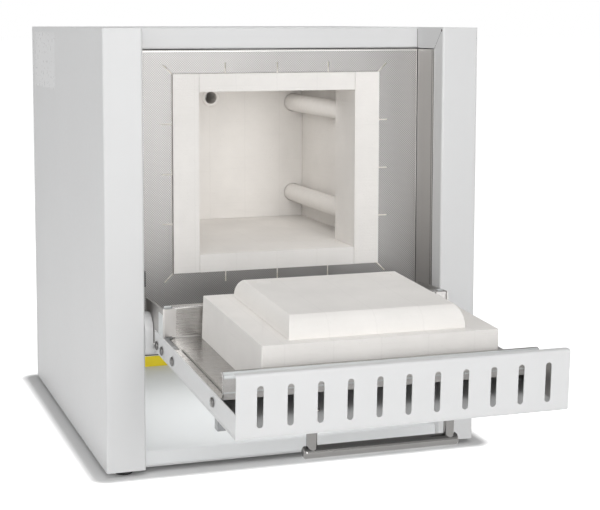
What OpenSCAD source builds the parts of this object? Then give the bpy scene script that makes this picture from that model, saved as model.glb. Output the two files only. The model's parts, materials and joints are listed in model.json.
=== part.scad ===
// Bench-top dental lab furnace with a flap door that opens downwards on two pins.
// Millimetres, +Z up, the front faces -Y. The model stands on its feet at z = 0.
// The cabinet is drawn with y = 0 on the front faces of its pillars and z = 0 under them.
// The door is drawn shut, then swung open about its pins, as the furnace stands at rest.

/* [Cabinet] */
// Overall width of the cabinet
body_w = 490; // [450:1:560]
// Height of the cabinet without its feet
body_h = 540; // [500:1:620]
// Depth of the cabinet from pillar face to rear cover
body_d = 528; // [490:1:640]
// Width of each front pillar
pillar_w = 49; // [46:0.5:56]
// Depth of the painted return on the inner side of each pillar
return_d = 26; // [20:0.5:34]
// Sheet thickness of the outer casing
casing_t = 1.2; // [0.8:0.1:1.5]
// Bend radius of the folded sheets
bend_r = 1.6; // [1:0.1:2.5]
// Depth of the niche from pillar face to textured front plate
niche_d = 79.7; // [78:0.1:92]
// Height of the fascia under the front edge of the roof
fascia_h = 27; // [22:0.5:30]
// Thickness of the stainless sheets
steel_t = 0.8; // [0.6:0.1:1]

/* [Lower compartment] */
// Height of the compartment floor
floor_z = 20.5; // [16:0.5:26]
// Distance of the floor's front lip behind the pillar face
lip_y = 10; // [6:0.5:16]
// Depth of the electrical bay between the compartment's rear wall and the back of the cabinet
service_depth = 91; // [88:1:110]
// Distance of the ceiling's top face below the hinge axis
ceiling_drop = 27; // [25.5:0.5:32]
// Height of the ceiling's turned-down front lip
ceiling_lip = 8; // [5:0.5:12]
// Height of the yellow marker strip on the rear wall
strip_h = 16; // [8:0.5:30]

/* [Heating chamber] */
// Step between each chamber wall and the side of the mouth
mouth_step = 39; // [35:0.5:46]
// Height of the chamber's mouth
mouth_h = 208; // [196:1:212]
// Distance of the chamber's floor below the roof
chamber_drop = 289; // [286:0.5:292]
// Width of the side slabs of the door collar
collar_side = 34; // [28:0.5:38]
// Thickness of the top and bottom slabs of the door collar
collar_bar = 23; // [18:0.5:26]
// How far the collar stands proud of the front plate
collar_proud = 4.3; // [3:0.1:5.2]
// Depth of the collar slabs
collar_d = 72; // [50:1:80]
// Distance of the chamber's side walls from the sides of the cabinet
chamber_inset = 100; // [96:0.5:106]
// Distance of the chamber's rear wall from the back of the cabinet
rear_space = 135; // [130:1:160]
// Thickness of the hot-face slabs
slab_t = 30; // [24:1:34]
// Thickness of the backing insulation
backing_t = 19; // [14:0.5:20]
// Gap between neighbouring insulation pieces
slab_gap = 0.3; // [0.2:0.1:0.6]

/* [Heating elements] */
// Outside diameter of a heating tube
tube_d = 26; // [20:0.5:27]
// Wall of a heating tube
tube_wall = 4; // [3:0.5:6]
// Clearance between a tube and its hole in the rear slab
tube_gap = 0.8; // [0.4:0.1:1]
// Height of the lower pair of tubes above the chamber floor
tube_low = 36.5; // [30:0.5:60]
// Height of the upper pair of tubes above the chamber floor
tube_high = 174; // [120:0.5:180]

/* [Exhaust] */
// Bore of the exhaust duct
exhaust_bore = 18; // [12:0.5:22]
// Height of the exhaust above the chamber floor
exhaust_up = 183; // [160:0.5:188]
// Outside diameter of the exhaust spigot on the rear cover
spigot_d = 30; // [28:0.5:40]
// How far the spigot stands out of the rear cover
spigot_out = 24; // [15:0.5:40]

/* [Door] */
// Gap between the door shell and the pillar's inner face on each side
door_side_gap = 9.5; // [9:0.1:12]
// Gap between the hinge axis and the lower end of the shell
shell_foot = 31; // [26:0.5:34]
// Depth of the hinge axis behind the door's outer face
hinge_y = 20; // [18:0.5:22]
// Distance of the hinge axis below the chamber's floor
hinge_drop = 78.5; // [75:0.5:78.5]
// Angle through which the door opens
open_angle = 93; // [85:0.5:94]
// Sheet thickness of the door shell
shell_t = 1.2; // [1:0.1:1.5]
// Depth of the side flanges of the shell
flange_d = 25.6; // [22:0.2:28]
// Depth of the slotted head panel
head_d = 66.6; // [60:0.2:70]
// Length of the return flange behind the head panel
head_return = 9; // [5:0.5:14]
// Number of vent slots in the head panel
slot_n = 11; // [7:2:13]
// Distance of the outermost vent slots from the ends of the panel
slot_margin = 25.5; // [18:0.5:50]
// Width of a vent slot
slot_w = 7; // [4:0.5:10]
// Length of a vent slot
slot_l = 43.6; // [30:0.2:46]

/* [Door tray and bricks] */
// Depth of the tray's floor inside the door
tray_y = 22; // [20:0.5:25]
// Thickness of the tray's sheet
tray_t = 1; // [0.8:0.1:1.2]
// Depth of the base brick
base_d = 51.2; // [48:0.2:51.8]
// Inset of the base brick's sides from the collar's outer sides
base_side_in = 1; // [1:0.5:9]
// Inset of the base brick's top and bottom from the collar's outer edges
base_end_in = 11; // [9:0.5:14]
// Slope of the base brick's sides
base_taper = 2; // [0:0.5:4]
// Gap between the plug and the collar all round
plug_gap = 3; // [2.5:0.5:5]
// Depth by which the plug enters the chamber
plug_d = 23.5; // [15:0.5:30]
// Inset of the plug's face along its left and right edges
plug_side_in = 6.3; // [4:0.1:10]
// Inset of the plug's face along its top and bottom edges
plug_end_in = 17; // [15:0.5:24]
// Clearance between the shut door's ledge and the collar
seal_gap = 0.9; // [0.4:0.1:2]

/* [Hinges] */
// Diameter of a hinge pin
pin_d = 8; // [6:0.5:8]
// Running clearance of a pin in its bush, on the radius
pin_gap = 0.05; // [0.03:0.01:0.08]
// Thickness of a hinge bracket
bracket_t = 10; // [8:0.1:10]
// Radius of the bracket's round head
bracket_r = 20.5; // [18:0.5:21]
// Thickness of a hinge arm
arm_t = 2; // [1.5:0.1:2.5]
// Outside diameter of a hinge bush
bush_d = 12; // [11:0.5:14]

/* [Handle] */
// Diameter of the handle bar
bar_d = 14; // [10:0.5:16]
// Length of the handle bar
bar_l = 180; // [175:1:220]
// Distance between the two handle posts
post_pitch = 160; // [110:1:160]
// Diameter of a handle post
post_d = 12; // [9:0.5:12]
// Distance of the bar's axis from the door's face
bar_out = 46; // [36:0.5:60]
// Height of the handle above the hinge axis, when the door is shut
handle_up = 298; // [250:1:305]

/* [Air slide] */
// Travel of the fresh-air slide
air_travel = 16; // [10:1:18]
// Diameter of the fresh-air holes
air_hole = 8; // [5:0.5:8.5]

/* [Feet and fasteners] */
// Diameter of a foot
foot_d = 24; // [18:0.5:30]
// Height of a foot
foot_h = 6; // [4:0.5:12]
// Distance of the feet from the front and rear faces
foot_in = 18; // [18:0.5:40]
// Head diameter of the cover screws
screw_head = 7; // [5:0.5:8]
// Shank diameter of the cover screws
screw_d = 3.6; // [3:0.2:4]

/* [Hidden] */

$fn = 48;
// Small overlap that lets a cut pass a face
cut = 1;

// Colours
white_paint = [0.86, 0.87, 0.87];
stainless = [0.62, 0.61, 0.59];
brick = [0.93, 0.91, 0.87];
wool = [0.86, 0.84, 0.78];
black = [0.10, 0.10, 0.11];
yellow = [0.85, 0.78, 0.16];
brass = [0.75, 0.62, 0.32];

// Cabinet planes
half_w = body_w / 2;
bay = half_w - pillar_w;
chamber_z = body_h - chamber_drop;
hinge_z = chamber_z - hinge_drop;
ceiling_z = hinge_z - ceiling_drop;
compartment_d = body_d - service_depth;
fit_gap = 0.3;
roof_t = casing_t;
fascia_z = body_h - fascia_h;
fascia_y = niche_d - casing_t / 2;
joint_gap = 1;
plate_top = fascia_z - joint_gap;
plate_bottom = ceiling_z;
cover_y = body_d - casing_t;
chassis_t = 1.4;

// Chamber and collar planes
chamber_x = half_w - chamber_inset;
chamber_back = body_d - rear_space;
mouth_x = chamber_x - mouth_step;
collar_y = niche_d - collar_proud;
collar_back = collar_y + collar_d;
collar_x = mouth_x + collar_side;
collar_z0 = chamber_z - collar_bar;
collar_z1 = chamber_z + mouth_h + collar_bar;
chamber_top = chamber_z + mouth_h;
slab_x = chamber_x + slab_t;
slab_z0 = chamber_z - slab_t;
slab_z1 = chamber_top + slab_t;
slab_back = chamber_back + slab_t;
wool_x = slab_x + backing_t;
wool_z0 = slab_z0 - backing_t;
wool_z1 = slab_z1 + backing_t;
wool_back = slab_back + backing_t;
wool_y = niche_d + steel_t + slab_gap;

// Heating elements
tube_x = chamber_x - slab_gap - tube_d / 2 - tube_gap - 1.2;
tube_front = collar_back + 2;
tube_back = chamber_back + slab_t / 2;
tube_places = [for (sx = [-1, 1], dz = [tube_low, tube_high]) [sx * tube_x, chamber_z + dz]];
winding_d = tube_d - 2 * tube_wall - 2;
rod_d = 4;
rod_pitch = 8;
rod_out = 22;
rod_back = wool_back + rod_out;

// Exhaust and thermocouple
exhaust_z = chamber_z + exhaust_up;
duct_d = exhaust_bore + 8;
probe_x = -90;
probe_z = chamber_z + 150;
probe_d = 6;
probe_in = 25;
probe_head = [22, 20];

// Door, drawn shut: y is the depth behind its outer face
door_x = bay - door_side_gap;
door_top = body_h;
door_up = door_top - hinge_z;
shell_z = hinge_z + shell_foot;
tray_x = door_x - shell_t;
tray_wall = 30;
tray_tail = 38;
base_x = collar_x - base_side_in;
base_z0 = collar_z0 + base_end_in;
base_z1 = collar_z1 - base_end_in;
tray_z0 = base_z0 - 5.5;
tray_z1 = base_z1 + 10.5;
base_y = tray_y + tray_t;
ledge_y = collar_y - seal_gap;
base_depth = min(base_d, ledge_y - base_y);
base_face = base_y + base_depth;
plug_w = 2 * (mouth_x - plug_gap);
plug_h = mouth_h - 2 * plug_gap;
plug_z0 = chamber_z + plug_gap;
anchor_x = plug_w / 2 - 27;
anchor_z = plug_z0 + 32;
anchor_d = 6;
cap_d = 18;
cap_t = 8;

// Hinges
bracket_x = bay - bracket_t;
arm_x = door_x - shell_t;
bracket_foot = ceiling_z;
stop_d = 5;

// Air slide
air_x = door_x - 10;
air_up = 280;
knob = [9, 11, 18];

// Front of the open door and the back of the spigot give the middle of the footprint
corner_r = bend_r + shell_t;
front_reach = hinge_y - (door_up - corner_r) * sin(open_angle)
    + (head_d - hinge_y - corner_r) * cos(open_angle) - corner_r;
origin_y = (front_reach + body_d + spigot_out) / 2;

// Places a cabinet piece in the model's frame
module in_cabinet() translate([0, -origin_y, foot_h]) children();

// Places a door piece, drawn shut, in the open pose
module on_door() in_cabinet()
    translate([0, hinge_y, hinge_z]) rotate([open_angle, 0, 0]) translate([0, -hinge_y, -hinge_z])
        children();

// Block between two opposite corners
module block(low, high) translate(low) cube(high - low);

// Extrudes an outline drawn in x and y from height z0 to z1
module upright(z0, z1) translate([0, 0, z0]) linear_extrude(z1 - z0) children();

// Extrudes an outline drawn in y and z from x0 to x1
module across(x0, x1) translate([x0, 0, 0]) rotate([90, 0, 90]) linear_extrude(x1 - x0) children();

// Extrudes an outline drawn in x and z from depth y0 to y1
module inward(y0, y1) translate([0, y1, 0]) rotate([90, 0, 0]) linear_extrude(y1 - y0) children();

// Round bar along x, y or z from a start point
module bar_x(p, d, l) translate(p) rotate([0, 90, 0]) cylinder(d = d, h = l);
module bar_y(p, d, l) translate(p) rotate([-90, 0, 0]) cylinder(d = d, h = l);
module bar_z(p, d, l) translate(p) cylinder(d = d, h = l);

// Mirrored copy of a left-hand piece
module both_sides() for (side = [0, 1]) mirror([side, 0, 0]) children();

// Rounded slot, l long along the first axis, centred
module slot_outline(l, w) {
    square([l - w, w], center = true);
    for (end = [-1, 1]) translate([end * (l - w) / 2, 0]) circle(d = w, $fn = 24);
}

// Outline of a folded sheet: the path is one face, the thickness lies on its left
bend_steps = 5;
function unit(v) = v / norm(v);
function left_of(v) = [-v[1], v[0]];
function turn_sign(a, b, c) = cross(b - a, c - b) >= 0 ? 1 : -1;
function turn_angle(a, b, c) = acos(min(1, max(-1, unit(b - a) * unit(c - b))));
function shifted(p, i, o) =
    i == 0 ? p[0] + o * left_of(unit(p[1] - p[0])) :
    i == len(p) - 1 ? p[i] + o * left_of(unit(p[i] - p[i - 1])) :
    let (u = unit(p[i] - p[i - 1]), v = unit(p[i + 1] - p[i]))
        p[i] + o * (left_of(u) + left_of(v)) / (1 + u * v);
function bend(a, b, c, r) =
    let (s = turn_sign(a, b, c), f = turn_angle(a, b, c), u = unit(b - a))
    let (start = b - u * r * tan(f / 2), centre = start + s * r * left_of(u))
    let (from = -s * left_of(u), a0 = atan2(from[1], from[0]))
        [for (k = [0 : bend_steps]) centre + r * [cos(a0 + s * f * k / bend_steps),
            sin(a0 + s * f * k / bend_steps)]];
function face_line(p, t, o, r) = [for (i = [0 : len(p) - 1])
    if (i == 0 || i == len(p) - 1) shifted(p, i, o)
    else let (s = turn_sign(p[i - 1], p[i], p[i + 1]))
        each bend(shifted(p, i - 1, o), shifted(p, i, o), shifted(p, i + 1, o),
            s > 0 ? r + t - o : r + o)];
function reversed(list) = [for (i = [len(list) - 1 : -1 : 0]) list[i]];
module folded(path, t, r = bend_r)
    polygon(concat(face_line(path, t, 0, r), reversed(face_line(path, t, t, r))));

// Places of the cover screws, as x and z on the rear face
flange_w = 16;
screw_xz = concat(
    [for (sx = [-1, 1], k = [0 : 3]) [sx * (half_w - flange_w / 2), 70 + k * (body_h - 140) / 3]],
    [for (sx = [-1, 1]) [sx * body_w / 4, body_h - flange_w / 2]],
    [for (k = [-1 : 1]) [k * body_w / 4, chassis_t + flange_w / 2]]);
module screw_cuts(d) for (p = screw_xz) bar_y([p[0], cover_y - 4, p[1]], d, 8);

// Label pocket on the left side panel
label_y = [body_d - 203, body_d - 29];
label_z = [body_h - 88, body_h - 7];
label_t = 0.3;

// Casing: side panel, pillar face and painted return folded from one sheet
module casing_sheet() {
    upright(0, body_h) folded([[-half_w + flange_w, cover_y], [-half_w, cover_y], [-half_w, 0],
        [-bay, 0], [-bay, return_d]], casing_t);
    // Cap over the pillar
    block([-half_w + casing_t / 2, casing_t / 2, body_h - roof_t], [-bay - casing_t / 2, fascia_y, body_h]);
    // Taller stretch of the return beside the fascia
    block([-bay - casing_t, return_d - cut, fascia_z], [-bay, fascia_y, body_h - roof_t / 2]);
}
module casing_left() color(white_paint) in_cabinet() difference() {
    casing_sheet();
    screw_cuts(screw_d);
    block([-half_w - cut, label_y[0], label_z[0]], [-half_w + label_t, label_y[1], label_z[1]]);
}
module casing_right() color(white_paint) in_cabinet() difference() {
    mirror([1, 0, 0]) casing_sheet();
    screw_cuts(screw_d);
}
label_gap = 0.2;
module rating_plate() color([0.80, 0.81, 0.81]) in_cabinet()
    block([-half_w, label_y[0] + label_gap, label_z[0] + label_gap],
        [-half_w + label_t, label_y[1] - label_gap, label_z[1] - label_gap]);

// Roof with its fascia, side flanges and rear flange
roof_x = half_w - casing_t - 0.2;
module roof_panel() color(white_paint) in_cabinet() difference() {
    union() {
        across(-bay, bay) folded([[cover_y, body_h - flange_w], [cover_y, body_h], [fascia_y, body_h],
            [fascia_y, fascia_z], [fascia_y + 8, fascia_z]], roof_t);
        inward(fascia_y + roof_t, cover_y - casing_t - 0.2) folded([[roof_x, body_h - 14], [roof_x, body_h],
            [-roof_x, body_h], [-roof_x, body_h - 14]], roof_t);
    }
    screw_cuts(screw_d);
}

// Rear cover with its vent rows and cut-outs
vent_n = 9;
vent_pitch = (half_w - 95.4) / (vent_n - 1);
vent_rows = [for (drop = [340, 210, 60]) body_h - drop];
connection_z = 100;
gland_place = [-half_w + 95, connection_z];
switch_place = [-half_w + 150, connection_z];
socket_place = [half_w - 95, connection_z];
gland_thread = 20;
rocker_w = 16;
rocker_h = 23;
socket_d = 26;
module rear_cover() color(white_paint) in_cabinet() difference() {
    inward(cover_y, body_d) difference() {
        translate([-half_w + 0.6, 0.6]) square([body_w - 1.2, body_h - 1.2]);
        for (row = [0 : 2], k = [0 : vent_n - 1], side = [-1, 1])
            if (row > 0 || k < 4 || side < 0)
                translate([side * (56 + k * vent_pitch), vent_rows[row]]) rotate(90) slot_outline(40, 5);
        translate([0, exhaust_z]) circle(d = spigot_d - 6);
        translate(gland_place) circle(d = gland_thread);
        translate(switch_place) square([rocker_w + 6, rocker_h + 6], center = true);
        translate(socket_place) circle(d = socket_d);
    }
    screw_cuts(screw_d + 0.4);
}
module cover_screws() color(stainless) in_cabinet() for (p = screw_xz) {
    bar_y([p[0], body_d, p[1]], screw_head, 1.2);
    bar_y([p[0], cover_y - 3.5, p[1]], screw_d - 0.2, 5);
}

// Chassis plate under the whole cabinet, with a rear upstand for the cover
chassis_x = half_w - casing_t - fit_gap;
chassis_y0 = lip_y + 2;
module chassis_plate() color(white_paint) in_cabinet() difference() {
    union() {
        across(-chassis_x, chassis_x) folded([[return_d + fit_gap, 0], [cover_y, 0],
            [cover_y, chassis_t + flange_w]], chassis_t);
        block([-bay + fit_gap, chassis_y0, 0], [bay - fit_gap, return_d + cut, chassis_t]);
        both_sides() block([-chassis_x, casing_t + bend_r + fit_gap, 0],
            [-bay - casing_t - fit_gap, return_d + cut, chassis_t]);
    }
    both_sides() block([-half_w, cover_y - 3, -cut],
        [-half_w + flange_w + 3, cover_y + cut, chassis_t + flange_w + cut]);
    screw_cuts(screw_d);
    for (p = foot_xy) bar_z([p[0], p[1], -cut], 6.2, chassis_t + 2 * cut);
}
foot_xy = [for (sx = [-1, 1], y = [foot_in, body_d - foot_in]) [sx * (half_w - pillar_w / 2), y]];
module feet() color(black) in_cabinet() for (p = foot_xy) {
    translate([p[0], p[1], -foot_h]) rotate_extrude()
        polygon([[0, 0], [foot_d / 2 - 1.5, 0], [foot_d / 2, 1.5], [foot_d / 2, foot_h], [0, foot_h]]);
    bar_z([p[0], p[1], -cut], 6, chassis_t + cut);
    translate([p[0], p[1], chassis_t]) cylinder(d1 = 9, d2 = 5, h = 3);
}

// Lower compartment: pan with front lip and side walls, rear wall and ceiling
pan_t = 1.2;
pan_x = bay - 0.2;
ceiling_t = 1.2;
pan_y0 = return_d + fit_gap + ceiling_t + bend_r + 0.2;
module compartment_pan() color([0.92, 0.93, 0.94]) in_cabinet() {
    across(-pan_x, pan_x) folded([[compartment_d, floor_z], [lip_y, floor_z], [lip_y, chassis_t],
        [lip_y + 14, chassis_t]], pan_t);
    inward(pan_y0, compartment_d) folded([[pan_x, ceiling_z - ceiling_t], [pan_x, floor_z], [-pan_x, floor_z],
        [-pan_x, ceiling_z - ceiling_t]], pan_t);
}
strip_t = 0.2;
strip_z = floor_z + strip_t;
back_y = compartment_d + strip_t;
module compartment_back() color([0.90, 0.91, 0.92]) in_cabinet()
    across(-pan_x, pan_x) folded([[back_y, ceiling_z - ceiling_t], [back_y, chassis_t],
        [back_y + 16, chassis_t]], pan_t);
module marker_strip() color(yellow) in_cabinet()
    block([-pan_x + 2, back_y - 2 * strip_t, strip_z], [pan_x - 2, back_y, strip_z + strip_h]);
module compartment_ceiling() color(white_paint) in_cabinet()
    across(-bay - 1, bay + 1) folded([[compartment_d + 12, ceiling_z], [return_d + fit_gap, ceiling_z],
        [return_d + fit_gap, ceiling_z - ceiling_lip]], ceiling_t);

// Niche around the shut door: stainless liners and the textured front plate
module liner() upright(ceiling_z, plate_top - 0.2) folded([[-bay - 9, return_d + 1], [-bay, return_d + 1],
    [-bay, niche_d - 0.1], [-bay - 16, niche_d - 0.1]], steel_t, 0.8);
module niche_liner_left() color(stainless) in_cabinet() liner();
module niche_liner_right() color(stainless) in_cabinet() mirror([1, 0, 0]) liner();

slit_l = 13.5;
slit_w = 1.9;
plate_x = bay - fit_gap;
module plate_slits() {
    w = collar_x + slab_gap;
    z_mid = (collar_z0 + collar_z1) / 2;
    h = (collar_z1 - collar_z0) / 2 + slab_gap;
    for (k = [-1 : 1], side = [-1, 1]) {
        translate([k * w / 2 - slit_w / 2, z_mid + (side > 0 ? h - cut : -h - slit_l)])
            square([slit_w, slit_l + cut]);
        translate([side > 0 ? w - cut : -w - slit_l, z_mid + k * h / 2 - slit_w / 2])
            square([slit_l + cut, slit_w]);
    }
    for (sx = [-1, 1], sz = [-1, 1])
        translate([sx * w, z_mid + sz * h]) rotate(atan2(sz, sx)) translate([-cut, -slit_w / 2])
            square([slit_l + 3, slit_w]);
}
module front_plate() color(stainless) in_cabinet() inward(niche_d, niche_d + steel_t) difference() {
    translate([-plate_x, plate_bottom]) square([2 * plate_x, plate_top - plate_bottom]);
    translate([-collar_x - slab_gap, collar_z0 - slab_gap])
        square([2 * (collar_x + slab_gap), collar_z1 - collar_z0 + 2 * slab_gap]);
    plate_slits();
}

// Door collar: four brick slabs round the chamber's mouth
module collar_left() color(brick) in_cabinet()
    block([-collar_x, collar_y, collar_z0], [-mouth_x, collar_back, collar_z1]);
module collar_right() color(brick) in_cabinet() mirror([1, 0, 0])
    block([-collar_x, collar_y, collar_z0], [-mouth_x, collar_back, collar_z1]);
module collar_bar(z0) color(brick) in_cabinet()
    block([-mouth_x + slab_gap, collar_y, z0], [mouth_x - slab_gap, collar_back, z0 + collar_bar]);
module collar_top() collar_bar(chamber_z + mouth_h);
module collar_bottom() collar_bar(collar_z0);

// Hot-face slabs of the chamber
slab_y0 = collar_back + slab_gap;
inner_x = chamber_x - slab_gap;
module chamber_wall() block([-slab_x, wool_y, slab_z0], [-chamber_x, slab_back, slab_z1]);
module chamber_wall_left() color(brick) in_cabinet() chamber_wall();
module chamber_wall_right() color(brick) in_cabinet() mirror([1, 0, 0]) chamber_wall();
module chamber_roof() color(brick) in_cabinet() {
    block([-inner_x, slab_y0, chamber_top], [inner_x, slab_back, slab_z1]);
    block([-inner_x, wool_y, collar_z1 + slab_gap], [inner_x, slab_y0 + cut, slab_z1]);
}
module chamber_floor() color(brick) in_cabinet() {
    block([-inner_x, slab_y0, slab_z0], [inner_x, slab_back, chamber_z]);
    block([-inner_x, wool_y, slab_z0], [inner_x, slab_y0 + cut, collar_z0 - slab_gap]);
}
module rear_passages(extra) {
    for (p = tube_places, s = [-1, 1])
        bar_y([p[0] + s * rod_x, chamber_back - cut, p[1] - winding_sag], rod_d + extra, 90);
    bar_y([0, chamber_back - cut, exhaust_z], duct_d + extra, 90);
    bar_y([probe_x, chamber_back - cut, probe_z], probe_d + extra, 90);
}
module chamber_rear() color(brick) in_cabinet() difference() {
    block([-inner_x, chamber_back, chamber_z + slab_gap], [inner_x, slab_back, chamber_top - slab_gap]);
    for (p = tube_places)
        bar_y([p[0], chamber_back - cut, p[1]], tube_d + 2 * tube_gap, tube_back - chamber_back + 1.5);
    rear_passages(0.6);
}

// Softer backing blankets round the slabs, and the inner case that holds them
module backing_blankets() color(wool) in_cabinet() {
    g = slab_gap;
    both_sides() block([-wool_x, wool_y, wool_z0], [-slab_x - g, wool_back, wool_z1]);
    block([-slab_x, wool_y, slab_z1 + g], [slab_x, wool_back, wool_z1]);
    block([-slab_x, wool_y, wool_z0], [slab_x, wool_back, slab_z0 - g]);
    difference() {
        block([-slab_x, slab_back + g, slab_z0], [slab_x, wool_back, slab_z1]);
        rear_passages(0.6);
    }
}
case_x = wool_x + slab_gap + steel_t;
case_z0 = wool_z0 - slab_gap - steel_t;
case_z1 = wool_z1 + slab_gap + steel_t;
case_back = wool_back + slab_gap;
module inner_case_wrap() color(stainless) in_cabinet() inward(wool_y, case_back)
    folded([[case_x, case_z0 + steel_t + 0.2], [case_x, case_z1], [-case_x, case_z1],
        [-case_x, case_z0 + steel_t + 0.2]], steel_t, 0.1);
module inner_case_tray() color(stainless) in_cabinet() difference() {
    across(-case_x, case_x) folded([[wool_y, case_z0], [case_back + steel_t, case_z0],
        [case_back + steel_t, case_z1]], steel_t, 0.1);
    rear_passages(1);
}
rail_x = case_x - 45.1;
rail_w = 24;
rail_t = 2;
module support_rails() color(stainless) in_cabinet() both_sides() inward(niche_d + 12, compartment_d)
    folded([[rail_w - rail_x, case_z0], [-rail_x, case_z0], [-rail_x, ceiling_z],
        [rail_w - rail_x, ceiling_z]], rail_t);

// Heating elements: ceramic tubes, windings, rods and clamps
winding_sag = tube_d / 2 - tube_wall - winding_d / 2 - slab_gap;
winding_back = tube_back - 10;
module heating_tubes() color([0.95, 0.94, 0.92]) in_cabinet() for (p = tube_places) difference() {
    bar_y([p[0], tube_front, p[1]], tube_d, tube_back - tube_front);
    bar_y([p[0], tube_front - cut, p[1]], tube_d - 2 * tube_wall, tube_back - tube_front + 2 * cut);
}
rod_x = rod_pitch * 0.8;
module heating_windings() color([0.45, 0.42, 0.40]) in_cabinet() for (p = tube_places) {
    difference() {
        bar_y([p[0], tube_front + 8, p[1] - winding_sag], winding_d, winding_back - tube_front - 8);
        bar_y([p[0], tube_front + 7, p[1] - winding_sag], winding_d - 6, winding_back - tube_front);
    }
    for (s = [-1, 1])
        bar_y([p[0] + s * rod_x, winding_back - cut, p[1] - winding_sag], rod_d,
            rod_back - winding_back + cut);
}
clamp_d = 9;
clamp_l = 14;
module element_clamps() color(brass) in_cabinet() for (p = tube_places, s = [-1, 1]) difference() {
    bar_y([p[0] + s * rod_x, rod_back - clamp_l, p[1] - winding_sag], clamp_d, clamp_l);
    bar_y([p[0] + s * rod_x, rod_back - clamp_l - cut, p[1] - winding_sag], rod_d, clamp_l + 2 * cut);
}

// Thermocouple through the rear slab, with its connection head
module thermocouple() color([0.9, 0.88, 0.84]) in_cabinet() {
    bar_y([probe_x, chamber_back - probe_in, probe_z], probe_d, case_back - chamber_back + probe_in + 8);
    bar_y([probe_x, case_back + steel_t, probe_z], probe_head[0], probe_head[1]);
}

// Exhaust duct through the insulation and its spigot on the rear cover
duct_back = case_back + 6;
module exhaust_duct() color([0.93, 0.91, 0.88]) in_cabinet() difference() {
    bar_y([0, chamber_back, exhaust_z], duct_d, duct_back - chamber_back);
    bar_y([0, chamber_back - cut, exhaust_z], exhaust_bore, duct_back - chamber_back + 2 * cut);
}
module exhaust_spigot() color(stainless) in_cabinet() difference() {
    union() {
        bar_y([0, body_d, exhaust_z], spigot_d, spigot_out);
        bar_y([0, duct_back, exhaust_z], spigot_d - 6.4, body_d - duct_back + cut);
        inward(body_d, body_d + 1.5) translate([0, exhaust_z]) square(54, center = true);
    }
    bar_y([0, duct_back - cut, exhaust_z], exhaust_bore, body_d + spigot_out - duct_back + 2 * cut);
}

// Electrical parts behind the compartment
bay_y0 = compartment_d + 18;
terminal = [44, 30, 30];
sink = [92, 60, 38];
sink_x = tube_x - terminal[0] / 2 - 7.7 - sink[0];
contactor = [50, 60, 78];
contactor_x = sink_x - 20 - contactor[0];
fin_n = 12;
fin_pitch = 7.4;
fin_gap = 3.2;
fin_foot = 8;
module heat_sink() color([0.35, 0.35, 0.36]) in_cabinet() difference() {
    translate([sink_x, bay_y0, chassis_t]) cube(sink);
    for (k = [0 : fin_n - 1])
        translate([sink_x + 4 + k * fin_pitch, bay_y0 - cut, chassis_t - cut])
            cube([fin_gap, sink[1] + 2 * cut, sink[2] - fin_foot + cut]);
}
module solid_state_relay() color([0.18, 0.19, 0.22]) in_cabinet() {
    z = chassis_t + sink[2];
    block([sink_x + 23, bay_y0 + 2, z], [sink_x + 69, bay_y0 + 58, z + 24]);
    for (dx = [34, 58], dy = [10, 50]) bar_z([sink_x + dx, bay_y0 + dy, z + 23], 8, 3);
}
module safety_contactor() color([0.22, 0.22, 0.24]) in_cabinet() difference() {
    translate([contactor_x, bay_y0 + 2, chassis_t]) cube(contactor);
    for (k = [0 : 3], z = [chassis_t + 8, chassis_t + contactor[2] - 18])
        translate([contactor_x + 4 + k * 12, bay_y0 - cut, z]) cube([8, 12 + cut, 12]);
}
block_y = rod_back - clamp_l / 2;
module terminal_block() color([0.9, 0.89, 0.86]) in_cabinet() both_sides() difference() {
    translate([-tube_x - terminal[0] / 2, bay_y0, chassis_t]) cube(terminal);
    for (dx = [-rod_x, rod_x])
        bar_y([-tube_x + dx, bay_y0 + terminal[1] - 10, chassis_t + terminal[2] / 2], 5, 12);
}
lead_d = 3;
module element_leads() color([0.85, 0.83, 0.78]) in_cabinet() both_sides() {
    low = chamber_z + tube_low - winding_sag;
    high = chamber_z + tube_high - winding_sag;
    base = chassis_t + terminal[2];
    // Bridge between the outer rods of the two tubes
    bar_z([-tube_x - rod_x, block_y, low + clamp_d / 2], lead_d, high - low - clamp_d);
    // Lead of the lower tube, straight down
    bar_z([-tube_x + rod_x, block_y, base], lead_d, low - clamp_d / 2 - base);
    // Lead of the upper tube, behind the lower clamp
    bar_y([-tube_x + rod_x, rod_back, high], lead_d, 6);
    translate([-tube_x + rod_x, rod_back + 6, high]) sphere(d = lead_d, $fn = 24);
    bar_z([-tube_x + rod_x, rod_back + 6, base], lead_d, high - base);
}

// Rear connections
module controller_socket() color(black) in_cabinet() difference() {
    union() {
        bar_y([socket_place[0], body_d - 22, socket_place[1]], socket_d - 0.4, 30);
        bar_y([socket_place[0], body_d, socket_place[1]], socket_d + 8, 2.5);
    }
    bar_y([socket_place[0], body_d - 4, socket_place[1]], socket_d - 7, 14);
}
gland_bore = 9;
gland_hex = 27;
module round_y(p, d1, d2, l, fn = 48)
    translate(p) rotate([-90, 0, 0]) cylinder(d1 = d1, d2 = d2, h = l, $fn = fn);
module cable_gland() color([0.30, 0.31, 0.32]) in_cabinet() difference() {
    union() {
        bar_y([gland_place[0], cover_y - 9, gland_place[1]], gland_thread - 0.2, 22);
        round_y([gland_place[0], body_d, gland_place[1]], gland_hex, gland_hex, 6, 6);
        round_y([gland_place[0], body_d + 6, gland_place[1]], 24, 17, 15);
        round_y([gland_place[0], cover_y - 5.2, gland_place[1]], gland_hex, gland_hex, 5, 6);
    }
    bar_y([gland_place[0], cover_y - 10, gland_place[1]], gland_bore, 40);
}

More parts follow.
